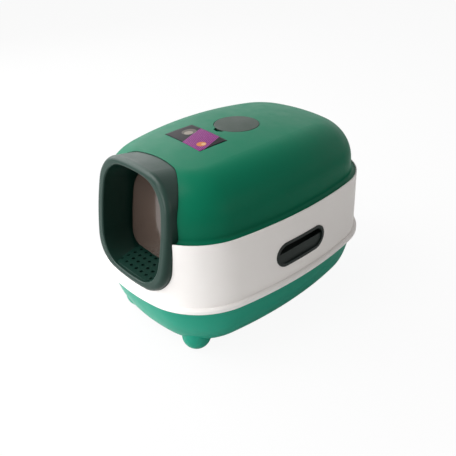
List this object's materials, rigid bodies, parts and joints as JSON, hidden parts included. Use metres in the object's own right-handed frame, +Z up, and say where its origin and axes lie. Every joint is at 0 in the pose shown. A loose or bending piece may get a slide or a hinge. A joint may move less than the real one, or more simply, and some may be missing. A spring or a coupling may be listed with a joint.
{
  "type": "drawer litter box",
  "caption": "Hooded pet litter box with a deep tray, lift-off surround and domed hood, leaning tunnel entrance with swing flap, perforated step over a catch drawer, and side grips.",
  "frame": {"origin": "centre of the footprint on the floor the box stands on", "axes": "+X to the right seen from the entrance, +Y towards the back, away from the entrance, +Z up"},
  "size_m": [0.4098, 0.564, 0.3886],
  "materials": {
    "tray_plastic": "glossy moulded green",
    "hood_plastic": "glossy moulded dark green",
    "ring_plastic": "glossy moulded off-white",
    "dark_plastic": "glossy moulded dark green-black",
    "step_plastic": "satin dark green",
    "cap_plastic": "satin dark grey-green",
    "smoked_plastic": "translucent smoked sheet",
    "carbon_felt": "black carbon felt",
    "pad_rubber": "matt black rubber",
    "screw_steel": "plain steel"
  },
  "bodies": {
    "base": {"litter_tray": "tray_plastic", "foot_pads": "pad_rubber"},
    "surround": {"surround_ring": "ring_plastic", "handle_cup_left": "dark_plastic", "handle_cup_right": "dark_plastic", "entrance_collar": "dark_plastic", "retaining_frame": "dark_plastic", "frame_screws": "screw_steel"},
    "flap": {"flap_door": "smoked_plastic", "flap_rail": "dark_plastic", "hinge_pins": "screw_steel", "rail_rivets": "screw_steel"},
    "drawer": {"litter_drawer": "dark_plastic", "step_sieve": "step_plastic"},
    "hood": {"hood": "hood_plastic"},
    "cartridge": {"vent_cap": "cap_plastic", "filter_basket": "cap_plastic", "carbon_filter": "carbon_felt"}
  },
  "joints": [
    {"name": "surround_lift", "type": "slide", "parent": "base", "child": "surround", "axis": [0, 0, 1], "range_m": [0, 0.06]},
    {"name": "flap_swing", "type": "hinge", "parent": "surround", "child": "flap", "pos_m": [0, -0.19851, 0.33998], "axis": [1, 0, 0], "range_deg": [-60, 60]},
    {"name": "drawer_slide", "type": "slide", "parent": "surround", "child": "drawer", "axis": [0, -0.988, 0.1547], "range_m": [0, 0.1]},
    {"name": "hood_lift", "type": "slide", "parent": "surround", "child": "hood", "axis": [0, 0, 1], "range_m": [0, 0.15]},
    {"name": "cartridge_lift", "type": "slide", "parent": "hood", "child": "cartridge", "axis": [0, 0, 1], "range_m": [0, 0.04]}
  ]
}
